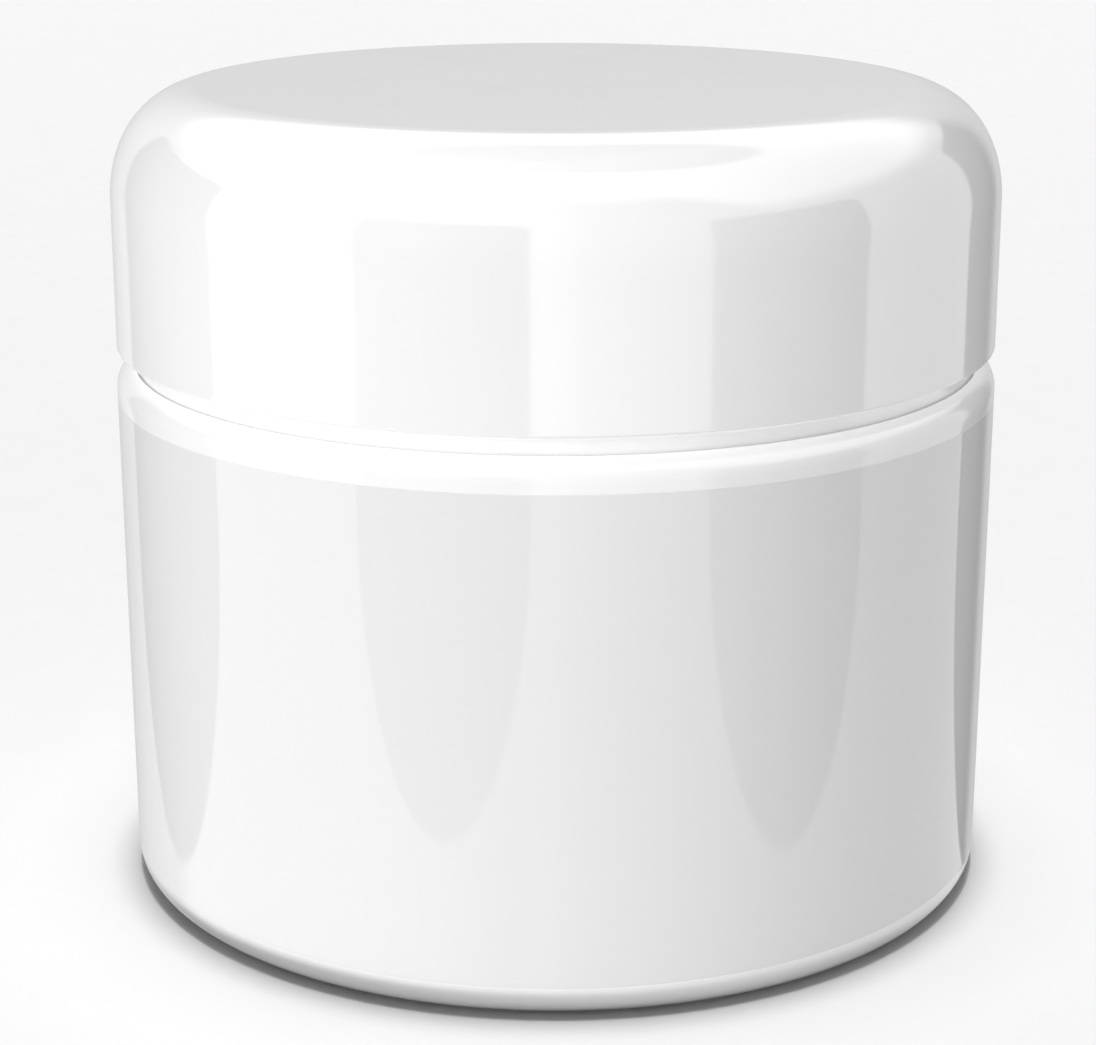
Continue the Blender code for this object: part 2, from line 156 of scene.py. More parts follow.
# Sealing disc and pull tab.
DISC_WEB_TOP = 46.8
DISC_WEB_BOTTOM = 45.9
DISC_PLUG_RADIUS = 24.15
DISC_PLUG_INNER = 23.2
DISC_PLUG_BOTTOM = 45.2
DISC_PLUG_TAPER = 0.1
DISC_FLANGE_BOTTOM = 48.3
DISC_WEB_FILLET = 0.4
TAB_HINGE = (-6.5, 0.0, 47.4)
TAB_LENGTH = 13.0
TAB_WIDTH = 10.0
TAB_THICKNESS = 0.9
TAB_BARREL_RADIUS = 0.45
TAB_BAND = 1.9
TAB_WINDOW_INSET = 0.4
TAB_BEVEL = 0.14
TAB_BEVEL_ANGLE = 60
TAB_END_STEPS = 40
TAB_WINDOW_STEPS = 30
TAB_BARREL_SEGMENTS = 40
LAND_GAP = 0.15
LAND_LENGTH = 1.6
LAND_EMBED = 0.3

# Lid liner: the dent is the ring that the cup's rim presses into the foam.
LINER_DENT = 0.06
LINER_DENT_SLOPE = 0.5

# Lid insert, with a bead inside it that keeps the liner up. LINER_BEAD_DROPS are the heights of the
# bead's four corners below the liner.
INSERT_CEILING = 50.8
INSERT_RADIUS = 28.55
INSERT_TOP_FILLET = 1.4
INSERT_BORE = 27.75
INSERT_BEAD_RADIUS = 29.2
INSERT_BEAD_HEIGHT = 1.1
INSERT_BEAD_SLOPE = 0.4
LINER_BEAD_RADIUS = 26.75
LINER_BEAD_DROPS = (1.0, 0.7, 0.4, 0.15)
LINER_BEAD_TOP_FILLET = 0.05

# Lid shell. Its corner is a superellipse, and a ring under its top ends just above the insert.
LID_CORNER_RADIAL = 6.2
LID_CORNER_HEIGHT = 7.55
LID_CORNER_EXPONENT = 2.1
SHELL_BORE = 29.4
SHELL_CEILING = 54.6
SHELL_RIDGE_RADIUS = 29.0
SHELL_RIDGE_MIDDLE = 39.6
SHELL_RIDGE_HALF = 0.2
SHELL_RIDGE_SLOPE = 0.25
SHELL_CORNER_HEIGHT = 6.2
SHELL_CORNER_RADIAL = 5.6
BEARING_ROOT = (11.8, 13.2)
BEARING_TIP = (12.0, 13.0)
BEARING_GAP = 0.15

# Ribs that key the shell to the insert.
SHELL_RIBS = 12
RIB_WIDTH = 1.6
RIB_OFFSET = 3.8
RIB_BEVEL_SEGMENTS = 2
INSERT_RIB_RADII = (28.2, 29.1)
INSERT_RIB_HEIGHTS = (42.5, 49.5)
SHELL_RIB_RADII = (28.8, 29.9)
SHELL_RIB_HEIGHTS = (42.5, 48.0)

# Three-start thread. Its taper, step and sweep are in degrees. The crest's edges are rounded over a share
# of the ridge's depth and over a length along the axis.
THREAD_STARTS = 3
THREAD_LEAD = 12.0
THREAD_EMBED = 0.3
THREAD_END_SINK = THREAD_EMBED / 3
THREAD_TAPER = 15
THREAD_STEP = 2.5
CREST_ROUND_SHARE = 0.12
CREST_ROUND_LENGTH = 0.12
HALF_PITCH = THREAD_LEAD / THREAD_STARTS / 2
NECK_THREAD = {
    "crest": 27.35,
    "root_width": 2.6,
    "crest_width": 1.4,
    "first": 40.1,
    "sweep": 195,
    "offset": 0,
}
LID_THREAD = {
    "crest": 26.5,
    "root_width": 2.4,
    "crest_width": 1.2,
    "first": 41.6,
    "sweep": 150,
    "offset": HALF_PITCH,
}

# Facets around each piece and along its arcs, and degrees between the points of a fillet.
VISIBLE_SEGMENTS = 288
HIDDEN_SEGMENTS = 192
ARC_STEPS = 20
BOWL_STEPS = 24
DOME_STEPS = 64
FILLET_STEP = 9

# An edge that turns more than this many degrees is shaded as sharp.
SHARP_ANGLE = 32

# A point closer to the axis than ON_AXIS is on it. Points closer than WELD_DISTANCE are joined, and so
# are faces that meet at less than FLAT_ANGLE, in radians.
ON_AXIS = 0.000001
WELD_DISTANCE = 0.001
FLAT_ANGLE = 0.001

# The camera: a long lens, close to the jar and looking slightly down on it. The pitch is in radians, and
# the shift is a share of the picture's width, which moves the jar a little to the right.
LENS = 88.2044
SENSOR = 36.0
CAMERA_PLACE = (0.0, -187.55, 78.67)
CAMERA_PITCH = 0.2817
CAMERA_SHIFT = -0.0072993
CAMERA_CLIP = (10.0, 20000.0)


# Profiles.


def filleted(points):
    """Rounds each corner of a profile by its own fillet, and returns (radius, height) points."""
    out = []
    last = len(points) - 1
    for i, (r, z, fillet) in enumerate(points):
        corner = Vector((r, z))
        if not fillet or i in (0, last):
            out.append((r, z))
            continue
        back = Vector(points[i - 1][:2]) - corner
        ahead = Vector(points[i + 1][:2]) - corner
        half = back.angle(ahead) / 2
        reach = fillet / math.tan(half)
        start = corner + back.normalized() * reach
        end = corner + ahead.normalized() * reach
        centre = corner + (back.normalized() + ahead.normalized()).normalized() * fillet / math.sin(half)
        turn = math.pi - 2 * half
        steps = max(2, math.ceil(math.degrees(turn) / FILLET_STEP))
        from_start = start - centre
        sign = 1 if from_start.cross(end - centre) > 0 else -1
        for k in range(steps + 1):
            angle = sign * turn * k / steps
            spun = Matrix.Rotation(angle, 2) @ from_start
            out.append(tuple(centre + spun))
    return out


def corners(points, fillet=0.0):
    """Adds one fillet to every (radius, height) point."""
    return [(r, z, fillet) for r, z in points]


def arc(centre, radius, start, end, steps):
    """Points on a circle from start to end degrees, both included."""
    angles = [math.radians(start + (end - start) * i / steps) for i in range(steps + 1)]
    return [(centre[0] + radius * math.cos(a), centre[1] + radius * math.sin(a)) for a in angles]


def domed_corner(outer_radius, top, radial, height, steps):
    """A superellipse corner, from the flat top out and down to the straight wall."""
    power = 2 / LID_CORNER_EXPONENT
    angles = [math.pi / 2 * (1 - i / steps) for i in range(steps + 1)]
    return [
        (
            outer_radius - radial + radial * max(math.cos(a), 0) ** power,
            top - height + height * max(math.sin(a), 0) ** power,
        )
        for a in angles
    ]


def wall_radius(height):
    """The jar narrows slightly towards its base."""
    return BODY_RADIUS - BODY_DRAFT * (SHOULDER_TOP - SHOULDER_FILLET - height)


def snap_bump(wall, peak, middle, half_height, slope, upward):
    """A bead or groove across a straight wall, as four points."""
    points = [
        (wall, middle - half_height - slope),
        (peak, middle - half_height),
        (peak, middle + half_height),
        (wall, middle + half_height + slope),
    ]
    return points if upward else points[::-1]


def cup_inside(gap, top, steps):
    """The bowl's inner surface from its centre to the straight wall, moved in by gap, up to a height."""
    wall_slope = (MOUTH_RADIUS - BOWL_TOP_RADIUS) / (MOUTH_STEP - CUP_FLOOR - BOWL_FILLET)
    bowl_centre = (BOWL_TOP_RADIUS - BOWL_FILLET, CUP_FLOOR + BOWL_FILLET)
    top_radius = BOWL_TOP_RADIUS + wall_slope * (top - CUP_FLOOR - BOWL_FILLET)
    return [
        (0, CUP_FLOOR + gap),
        *arc(bowl_centre, BOWL_FILLET - gap, -90, 0, steps),
        (top_radius - gap, top),
    ]


# Meshes.


def new_object(name, bm):
    bmesh.ops.recalc_face_normals(bm, faces=bm.faces)
    mesh = bpy.data.meshes.new(name)
    bm.to_mesh(mesh)
    bm.free()
    obj = bpy.data.objects.new(name, mesh)
    bpy.context.scene.collection.objects.link(obj)
    return obj


def vertex_at(bm, r, angle, z):
    return bm.verts.new((r * MM * math.cos(angle), r * MM * math.sin(angle), z * MM))


def ring_of(bm, point, segments):
    """One vertex on the axis, or a ring of them around it."""
    r, z = point
    if r < ON_AXIS:
        return [bm.verts.new((0, 0, z * MM))]
    return [vertex_at(bm, r, math.tau * k / segments, z) for k in range(segments)]


def join_rings(bm, low, high):
    count = max(len(low), len(high))
    for k in range(count):
        after = (k + 1) % count
        if len(low) == 1:
            bm.faces.new((low[0], high[after], high[k]))
        elif len(high) == 1:
            bm.faces.new((low[k], low[after], high[0]))
        else:
            bm.faces.new((low[k], low[after], high[after], high[k]))


def join_sections(bm, sections):
    """Joins a row of closed outlines with the same number of vertices, and caps both of its ends."""
    for here, after in zip(sections, sections[1:]):
        for k in range(len(here)):
            bm.faces.new((here[k], here[k - 1], after[k - 1], after[k]))
    bm.faces.new(sections[0])
    bm.faces.new(sections[-1][::-1])


def turned(name, profile, segments):
    """Turns (radius, height) points about the axis, from one point on it to another, into a mesh."""
    bm = bmesh.new()
    rings = [ring_of(bm, point, segments) for point in profile]
    for low, high in zip(rings, rings[1:]):
        join_rings(bm, low, high)
    return new_object(name, bm)


def boxes_around(name, count, radii, heights, width, offset=0.0):
    """Boxes spaced evenly around the axis, from radii[0] to radii[1]."""
    low = Vector((radii[0], -width / 2, heights[0])) * MM
    high = Vector((radii[1], width / 2, heights[1])) * MM
    stretch = Matrix.Diagonal((*(high - low), 1))
    place = Matrix.Translation((low + high) / 2) @ stretch
    bm = bmesh.new()
    for i in range(count):
        turn = Matrix.Rotation(math.tau * i / count + math.radians(offset), 4, "Z")
        bmesh.ops.create_cube(bm, size=1, matrix=turn @ place)
    return new_object(name, bm)


def drum(name, radius, depth, segments, place, capped):
    """A cylinder, whose middle and axis are set by the matrix place."""
    bm = bmesh.new()
    bmesh.ops.create_cone(
        bm,
        cap_ends=capped,
        segments=segments,
        radius1=radius * MM,
        radius2=radius * MM,
        depth=depth * MM,
        matrix=place,
    )
    return new_object(name, bm)


def thread_ridges(name, thread, wall, outward):
    """Right-handed helical ridges, one for each start, whose crests sink into the wall at both ends."""
    into_wall = -1 if outward else 1
    root = wall + into_wall * THREAD_EMBED
    buried = wall + into_wall * THREAD_END_SINK
    steps = int(thread["sweep"] / THREAD_STEP)
    start_angle = 360 * (thread["first"] - NECK_THREAD["first"] - thread["offset"]) / THREAD_LEAD
    half_root = thread["root_width"] / 2
    half_crest = thread["crest_width"] / 2
    bm = bmesh.new()
    for start in range(THREAD_STARTS):
        sections = []
        for i in range(steps + 1):
            along = i * THREAD_STEP
            ramp = min(1, along / THREAD_TAPER, (thread["sweep"] - along) / THREAD_TAPER)
            ramp = ramp * ramp * (3 - 2 * ramp)
            crest = buried + (thread["crest"] - buried) * ramp
            near = crest + (root - crest) * CREST_ROUND_SHARE
            height = thread["first"] + THREAD_LEAD * along / 360
            angle = math.radians(start_angle + along + 360 * start / THREAD_STARTS)
            shape = [
                (root, height - half_root),
                (near, height - half_crest - CREST_ROUND_LENGTH),
                (crest, height - half_crest + CREST_ROUND_LENGTH),
                (crest, height + half_crest - CREST_ROUND_LENGTH),
                (near, height + half_crest + CREST_ROUND_LENGTH),
                (root, height + half_root),
            ]
            sections.append([vertex_at(bm, r, angle, z) for r, z in shape])
        join_sections(bm, sections)
    return new_object(name, bm)


def mesh_of(obj):
    """The mesh that obj has once its modifiers are applied."""
    graph = bpy.context.evaluated_depsgraph_get()
    return bpy.data.meshes.new_from_object(obj.evaluated_get(graph))


def apply_modifiers(obj):
    mesh = mesh_of(obj)
    obj.modifiers.clear()
    obj.data = mesh


def combine(obj, operation, tool):
    """Joins or cuts obj with tool, applies the result to obj's mesh and removes tool."""
    modifier = obj.modifiers.new(operation, "BOOLEAN")
    modifier.operation = operation
    modifier.object = tool
    modifier.solver = "EXACT"
    apply_modifiers(obj)
    bpy.data.objects.remove(tool)


def smoothed(obj):
    """Smooth shading between the sharp edges, with the normals of the large faces kept flat."""
    bm = bmesh.new()
    bm.from_mesh(obj.data)
    for face in bm.faces:
        face.smooth = True
    for edge in bm.edges:
        edge.smooth = len(edge.link_faces) == 2 and edge.calc_face_angle() < math.radians(SHARP_ANGLE)
    bm.to_mesh(obj.data)
    bm.free()
    weighted = obj.modifiers.new("weighted normals", "WEIGHTED_NORMAL")
    weighted.keep_sharp = True
    return obj


def bevelled(obj, width, segments=3, angle=40):
    """Rounds the edges of obj that turn more than angle degrees."""
    modifier = obj.modifiers.new("edge", "BEVEL")
    modifier.width = width * MM
    modifier.segments = segments
    modifier.limit_method = "ANGLE"
    modifier.angle_limit = math.radians(angle)
    modifier.miter_outer = "MITER_ARC"
    apply_modifiers(obj)
    return obj


# The pieces.


def make_outer_jar():
    shoulder_centre = (BODY_RADIUS - SHOULDER_FILLET, SHOULDER_TOP - SHOULDER_FILLET)
    fillet_start = math.degrees(math.acos((REBATE_RADIUS - shoulder_centre[0]) / SHOULDER_FILLET))
    base_centre = (wall_radius(BASE_FILLET) - BASE_FILLET, BASE_FILLET)
    panel_top = LABEL_TOP + LABEL_END_GAP
    panel_bottom = LABEL_BOTTOM - LABEL_END_GAP
    groove = snap_bump(
        JAR_BORE, SNAP_GROOVE_RADIUS, SNAP_MIDDLE, SNAP_GROOVE_HALF, SNAP_SLOPE, upward=True
    )
    profile = [
        (0, JAR_FLOOR, 0),
        (JAR_BORE, JAR_FLOOR, JAR_FLOOR_FILLET),
        *corners(groove, SMALL_FILLET),
        (JAR_BORE, LEDGE_TOP, SMALL_FILLET),
        (REBATE_RADIUS, LEDGE_TOP, 0),
        *corners(arc(shoulder_centre, SHOULDER_FILLET, fillet_start, 0, ARC_STEPS)),
        (wall_radius(panel_top), panel_top, LIP_FILLET),
        (wall_radius(panel_top) - PANEL_DEPTH, panel_top, 0),
        (wall_radius(panel_bottom) - PANEL_DEPTH, panel_bottom, 0),
        (wall_radius(panel_bottom), panel_bottom, LIP_FILLET),
        *corners(arc(base_centre, BASE_FILLET, 0, -90, ARC_STEPS)),
        (FOOT_INNER_RADIUS, 0, SOFT_FILLET),
        (FOOT_INNER_RADIUS - FOOT_RECESS, FOOT_RECESS, EDGE_BREAK),
        (0, FOOT_RECESS, 0),
    ]
    jar = turned("outer_jar_moulding", filleted(profile), VISIBLE_SEGMENTS)
    combine(jar, "DIFFERENCE", boxes_around("slots", LUGS, SLOT_RADII, SLOT_HEIGHTS, SLOT_WIDTH))
    return jar


def make_inner_cup():
    bowl_centre = (BOWL_TOP_RADIUS - BOWL_FILLET, CUP_FLOOR + BOWL_FILLET)
    flange_bottom = COLLAR_TOP - FLANGE_THICKNESS
    bead = snap_bump(SKIRT_RADIUS, SNAP_BEAD_RADIUS, SNAP_MIDDLE, SNAP_BEAD_HALF, SNAP_SLOPE, upward=False)
    profile = [
        *corners(cup_inside(0, MOUTH_STEP, BOWL_STEPS)),
        (MOUTH_STEP_RADIUS, MOUTH_STEP, EDGE_FILLET),
        (MOUTH_STEP_RADIUS, RIM_TOP, EDGE_BREAK),
        (NECK_RADIUS, RIM_TOP, EDGE_BREAK),
        (NECK_RADIUS, COLLAR_TOP, EDGE_BREAK),
        (COLLAR_RADIUS, COLLAR_TOP, EDGE_BREAK),
        (COLLAR_RADIUS, LEDGE_TOP + LEDGE_GAP, FINE_FILLET),
        (SKIRT_RADIUS, LEDGE_TOP + LEDGE_GAP, 0),
        *corners(bead, FINE_FILLET),
        (SKIRT_RADIUS, SKIRT_BOTTOM, EDGE_BREAK),
        (SKIRT_INNER_RADIUS, SKIRT_BOTTOM, EDGE_BREAK),
        (SKIRT_INNER_RADIUS, flange_bottom, EDGE_BREAK),
        (BOWL_TOP_RADIUS + CUP_WALL, flange_bottom, EDGE_BREAK),
        *corners(arc(bowl_centre, BOWL_FILLET + CUP_WALL, 0, -90, BOWL_STEPS)),
        (0, CUP_FLOOR - CUP_WALL, 0),
    ]
    cup = turned("inner_cup_moulding", filleted(profile), HIDDEN_SEGMENTS)
    combine(cup, "UNION", thread_ridges("neck_thread", NECK_THREAD, NECK_RADIUS, True))
    combine(cup, "UNION", boxes_around("lugs", LUGS, LUG_RADII, LUG_HEIGHTS, LUG_WIDTH))
    return cup


def make_wrap_label():
    """A film strip bent round the body, with its two ends apart at the back."""
    section = filleted(
        [
            (wall_radius(LABEL_TOP) - LABEL_THICKNESS, LABEL_TOP, 0),
            (wall_radius(LABEL_TOP), LABEL_TOP, LABEL_EDGE),
            (wall_radius(LABEL_BOTTOM), LABEL_BOTTOM, LABEL_EDGE),
            (wall_radius(LABEL_BOTTOM) - LABEL_THICKNESS, LABEL_BOTTOM, 0),
        ]
    )
    half_seam = LABEL_SEAM / 2 / BODY_RADIUS
    start = math.pi / 2 + half_seam
    sweep = math.tau - 2 * half_seam
    angles = [start + sweep * k / VISIBLE_SEGMENTS for k in range(VISIBLE_SEGMENTS + 1)]
    bm = bmesh.new()
    join_sections(bm, [[vertex_at(bm, r, angle, z) for r, z in section] for angle in angles])
    return new_object("wrap_label_film", bm)


def cream_height(r, angle, edge_radius):
    """A spiral groove that fades out at the middle, where the nozzle left a peak, and at the wall."""
    phase = math.tau * r / CREAM_SWIRL_PITCH - angle
    groove = 0.5 - 0.5 * math.cos(phase)
    near_middle = min(1.0, r / CREAM_PEAK_RADIUS)
    near_wall = min(1.0, (edge_radius - r) / CREAM_WALL_FADE)
    depth = CREAM_SWIRL_DEPTH * groove * near_middle * near_wall
    place = Vector((r * math.cos(angle), r * math.sin(angle), 0.0)) * CREAM_RIPPLES_PER_MM
    ripple = CREAM_RIPPLE * (0.5 + 0.5 * noise.noise(place))
    settle = CREAM_EDGE_DROP * (1 - near_wall) + CREAM_PEAK_RISE * near_middle
    return CREAM_TOP - depth - ripple * near_middle - settle


def make_cream():
    """Cream that fills the bowl, with a surface of rings that shrink to the middle."""
    edge_top = CREAM_TOP - CREAM_EDGE_DROP - CREAM_WALL_MARGIN
    inside = cup_inside(CREAM_GAP, edge_top, ARC_STEPS)
    edge_radius = inside[-1][0]
    bm = bmesh.new()
    rings = [ring_of(bm, point, HIDDEN_SEGMENTS) for point in inside]
    for i in range(1, CREAM_RINGS + 1):
        r = edge_radius * (1 - i / CREAM_RINGS)
        ring = ring_of(bm, (r, 0), HIDDEN_SEGMENTS)
        for k, vert in enumerate(ring):
            vert.co.z = cream_height(r, math.tau * k / HIDDEN_SEGMENTS, edge_radius) * MM
        rings.append(ring)
    for low, high in zip(rings, rings[1:]):
        join_rings(bm, low, high)
    return new_object("cream_filling", bm)


def make_sealing_disc():
    profile = [
        (0, DISC_WEB_TOP, 0),
        (DISC_PLUG_INNER, DISC_WEB_TOP, DISC_WEB_FILLET),
        (DISC_PLUG_INNER, DISC_FLANGE_TOP, SOFT_FILLET),
        (DISC_FLANGE_RADIUS, DISC_FLANGE_TOP, SOFT_FILLET),
        (DISC_FLANGE_RADIUS, DISC_FLANGE_BOTTOM, EDGE_FILLET),
        (DISC_PLUG_RADIUS, DISC_FLANGE_BOTTOM, CREST_FILLET),
        (DISC_PLUG_RADIUS - DISC_PLUG_TAPER, DISC_PLUG_BOTTOM, SOFT_FILLET),
        (DISC_PLUG_INNER, DISC_PLUG_BOTTOM, SMALL_FILLET),
        (DISC_PLUG_INNER, DISC_WEB_BOTTOM, EDGE_FILLET),
        (0, DISC_WEB_BOTTOM, 0),
    ]
    disc = turned("sealing_disc_moulding", filleted(profile), HIDDEN_SEGMENTS)
    land_front = TAB_HINGE[0] - TAB_BARREL_RADIUS - LAND_GAP
    heights = (DISC_WEB_BOTTOM + LAND_EMBED, TAB_HINGE[2] + TAB_BARREL_RADIUS)
    radii = (-land_front, LAND_LENGTH - land_front)
    land = boxes_around("hinge_land", 1, radii, heights, TAB_WIDTH, offset=180)
    combine(disc, "UNION", bevelled(land, SMALL_FILLET))
    return disc


def tab_outline(curve, start, half_width, steps):
    """A strip with a round far end, as one closed poly spline in the XY plane."""
    centre = TAB_LENGTH - TAB_WIDTH / 2
    points = [(start, -half_width), *arc((centre, 0), half_width, -90, 90, steps), (start, half_width)]
    spline = curve.splines.new("POLY")
    spline.points.add(len(points) - 1)
    for point, (x, y) in zip(spline.points, points):
        point.co = (x * MM, y * MM, 0, 1)
    spline.use_cyclic_u = True


def make_pull_tab():
    """A loop with a round end, cut from a flat sheet, on a barrel at its hinge."""
    curve = bpy.data.curves.new("tab_outline", "CURVE")
    curve.dimensions = "2D"
    curve.fill_mode = "BOTH"
    curve.extrude = TAB_THICKNESS / 2 * MM
    tab_outline(curve, 0, TAB_WIDTH / 2, TAB_END_STEPS)
    tab_outline(curve, TAB_BAND + TAB_WINDOW_INSET, TAB_WIDTH / 2 - TAB_BAND, TAB_WINDOW_STEPS)
    flat = bpy.data.objects.new("tab_flat", curve)
    bpy.context.scene.collection.objects.link(flat)
    mesh = mesh_of(flat)
    bpy.data.objects.remove(flat)
    hinge = Vector(TAB_HINGE) * MM
    bm = bmesh.new()
    bm.from_mesh(mesh)
    bmesh.ops.remove_doubles(bm, verts=bm.verts, dist=WELD_DISTANCE * MM)
    bmesh.ops.dissolve_limit(bm, angle_limit=FLAT_ANGLE, verts=bm.verts, edges=bm.edges)
    bmesh.ops.translate(bm, verts=bm.verts, vec=hinge)
    tab = bevelled(new_object("pull_tab_moulding", bm), TAB_BEVEL, angle=TAB_BEVEL_ANGLE)
    along_y = Matrix.Translation(hinge) @ Matrix.Rotation(math.pi / 2, 4, "X")
    barrel = drum("tab_barrel", TAB_BARREL_RADIUS, TAB_WIDTH, TAB_BARREL_SEGMENTS, along_y, capped=True)
    combine(tab, "UNION", barrel)
    return tab


def make_lid_liner():
    """A foam disc with the faint ring that the cup's rim has pressed into it."""
    inner = MOUTH_STEP_RADIUS + EDGE_BREAK
    outer = NECK_RADIUS - EDGE_BREAK
    dent = [
        (outer + LINER_DENT_SLOPE, LINER_BOTTOM),
        (outer, LINER_BOTTOM + LINER_DENT),
        (inner, LINER_BOTTOM + LINER_DENT),
        (inner - LINER_DENT_SLOPE, LINER_BOTTOM),
    ]
    profile = [
        (0, LINER_TOP, 0),
        (LINER_RADIUS, LINER_TOP, SOFT_FILLET),
        (LINER_RADIUS, LINER_BOTTOM, SOFT_FILLET),
        *corners(dent, FINE_FILLET),
        (0, LINER_BOTTOM, 0),
    ]
    return turned("liner_foam", filleted(profile), HIDDEN_SEGMENTS)


def make_lid_insert():
    bead_foot, bead_low, bead_high, bead_top = [LINER_BOTTOM - drop for drop in LINER_BEAD_DROPS]
    profile = [
        (0, INSERT_TOP, 0),
        (INSERT_RADIUS, INSERT_TOP, INSERT_TOP_FILLET),
        (INSERT_RADIUS, INSERT_BOTTOM + INSERT_BEAD_HEIGHT + INSERT_BEAD_SLOPE, SMALL_FILLET),
        (INSERT_BEAD_RADIUS, INSERT_BOTTOM + INSERT_BEAD_HEIGHT, SMALL_FILLET),
        (INSERT_BEAD_RADIUS, INSERT_BOTTOM, EDGE_FILLET),
        (INSERT_BORE, INSERT_BOTTOM, EDGE_FILLET),
        (INSERT_BORE, bead_foot, FINE_FILLET),
        (LINER_BEAD_RADIUS, bead_low, FINE_FILLET),
        (LINER_BEAD_RADIUS, bead_high, FINE_FILLET),
        (INSERT_BORE, bead_top, LINER_BEAD_TOP_FILLET),
        (INSERT_BORE, INSERT_CEILING, SMALL_FILLET),
        (0, INSERT_CEILING, 0),
    ]
    insert = turned("lid_insert_moulding", filleted(profile), HIDDEN_SEGMENTS)
    combine(insert, "UNION", thread_ridges("lid_thread", LID_THREAD, INSERT_BORE, False))
    ribs = boxes_around("insert_ribs", SHELL_RIBS, INSERT_RIB_RADII, INSERT_RIB_HEIGHTS, RIB_WIDTH)
    combine(insert, "UNION", bevelled(ribs, SMALL_FILLET, RIB_BEVEL_SEGMENTS))
    return insert


def make_lid_shell():
    ridge = snap_bump(
        SHELL_BORE, SHELL_RIDGE_RADIUS, SHELL_RIDGE_MIDDLE, SHELL_RIDGE_HALF, SHELL_RIDGE_SLOPE, upward=True
    )
    outer_corner = domed_corner(LID_RADIUS, LID_TOP, LID_CORNER_RADIAL, LID_CORNER_HEIGHT, DOME_STEPS)
    inner_corner = domed_corner(
        SHELL_BORE, SHELL_CEILING, SHELL_CORNER_RADIAL, SHELL_CORNER_HEIGHT, ARC_STEPS
    )
    bearing = INSERT_TOP + BEARING_GAP
    profile = [
        (0, LID_TOP, 0),
        *corners(outer_corner),
        (LID_RADIUS, LID_BOTTOM, EDGE_FILLET),
        (SHELL_BORE, LID_BOTTOM, EDGE_FILLET),
        *corners(ridge, CREST_FILLET),
        *corners(inner_corner[::-1]),
        (BEARING_ROOT[1], SHELL_CEILING, EDGE_BREAK),
        (BEARING_TIP[1], bearing, SMALL_FILLET),
        (BEARING_TIP[0], bearing, SMALL_FILLET),
        (BEARING_ROOT[0], SHELL_CEILING, EDGE_BREAK),
        (0, SHELL_CEILING, 0),
    ]
    shell = turned("lid_shell_moulding", filleted(profile), VISIBLE_SEGMENTS)
    ribs = boxes_around(
        "shell_ribs", SHELL_RIBS, SHELL_RIB_RADII, SHELL_RIB_HEIGHTS, RIB_WIDTH, offset=RIB_OFFSET
    )
    combine(shell, "UNION", bevelled(ribs, SMALL_FILLET, RIB_BEVEL_SEGMENTS))
    return shell


# Materials. Two noises vary the colour and the polish of each one, with features of these sizes. A grain
# is the size and depth of its bumps, and a polish is the lowest and highest roughness.
CLOUD_SIZE = 14.0
POLISH_SIZE = 5.0
NOISE_ROUGHNESS = 0.55
NOISE_SPAN = (0.3, 0.7)

DISC_COLOUR = (0.86, 0.88, 0.9, 1)
DISC_SHADE = (0.83, 0.855, 0.88, 1)
DISC_POLISH = (0.3, 0.42)
DISC_GRAIN = (0.25, 0.0016)
GLOSS_GRAIN = (0.6, 0.00012)


class Graph:
    """Adds nodes to a node tree, with sockets or plain numbers as their inputs."""

    def __init__(self, tree):
        self.tree = tree

    def node(self, kind, inputs=(), **settings):
        made = self.tree.nodes.new(kind)
        for key, value in settings.items():
            setattr(made, key, value)
        for key, value in dict(inputs).items():
            self.put(made.inputs[key], value)
        return made

    def put(self, socket, value):
        if isinstance(value, bpy.types.NodeSocket):
            self.tree.links.new(value, socket)
        else:
            socket.default_value = value

    def maths(self, operation, *values):
        return self.node("ShaderNodeMath", enumerate(values), operation=operation).outputs[0]

    def mapped(self, value, low, high, to_low, to_high, smooth=True, clamp=True):
        """A smooth step, or a straight ramp, which runs on beyond its ends if clamp is off."""
        inputs = {
            "Value": value,
            "From Min": low,
            "From Max": high,
            "To Min": to_low,
            "To Max": to_high,
        }
        kind = "SMOOTHSTEP" if smooth and clamp else "LINEAR"
        return self.node("ShaderNodeMapRange", inputs, interpolation_type=kind, clamp=clamp).outputs[0]

    def mix(self, factor, first, second):
        made = self.node("ShaderNodeMix", data_type="RGBA")
        self.put(made.inputs[0], factor)
        self.put(made.inputs[6], first)
        self.put(made.inputs[7], second)
        return made.outputs[2]


def moulded(name, colour, shade, roughness, peel, grain, **uniform):
    """A plastic with slight clouding of its colour, an uneven polish, a soft mould ripple and a fine grain.

    colour and shade are the two tones of the clouding, roughness is (low, high), and peel and grain are
    (size in millimetres, depth in millimetres). The other values are set on the shader's own sockets.
    """
    material = bpy.data.materials.new(name)
    material.use_nodes = True
    tree = material.node_tree
    tree.nodes.clear()
    graph = Graph(tree)
    place = graph.node("ShaderNodeTexCoord").outputs["Object"]
    cloud = noise_of(graph, place, CLOUD_SIZE, 3)
    polish = noise_of(graph, place, POLISH_SIZE, 4)
    peel_height = noise_of(graph, place, peel[0], 2)
    grain_height = noise_of(graph, place, grain[0], 3)
    shader = graph.node(
        "ShaderNodeBsdfPrincipled",
        {
            "Base Color": graph.mix(graph.mapped(cloud, *NOISE_SPAN, 0, 1), colour, shade),
            "Roughness": graph.mapped(polish, *NOISE_SPAN, *roughness),
            "Normal": bumps(graph, (peel_height, peel[1]), (grain_height, grain[1])),
            **uniform,
        },
    )
    out = graph.node("ShaderNodeOutputMaterial", {"Surface": shader.outputs[0]})
    out.is_active_output = True
    return material


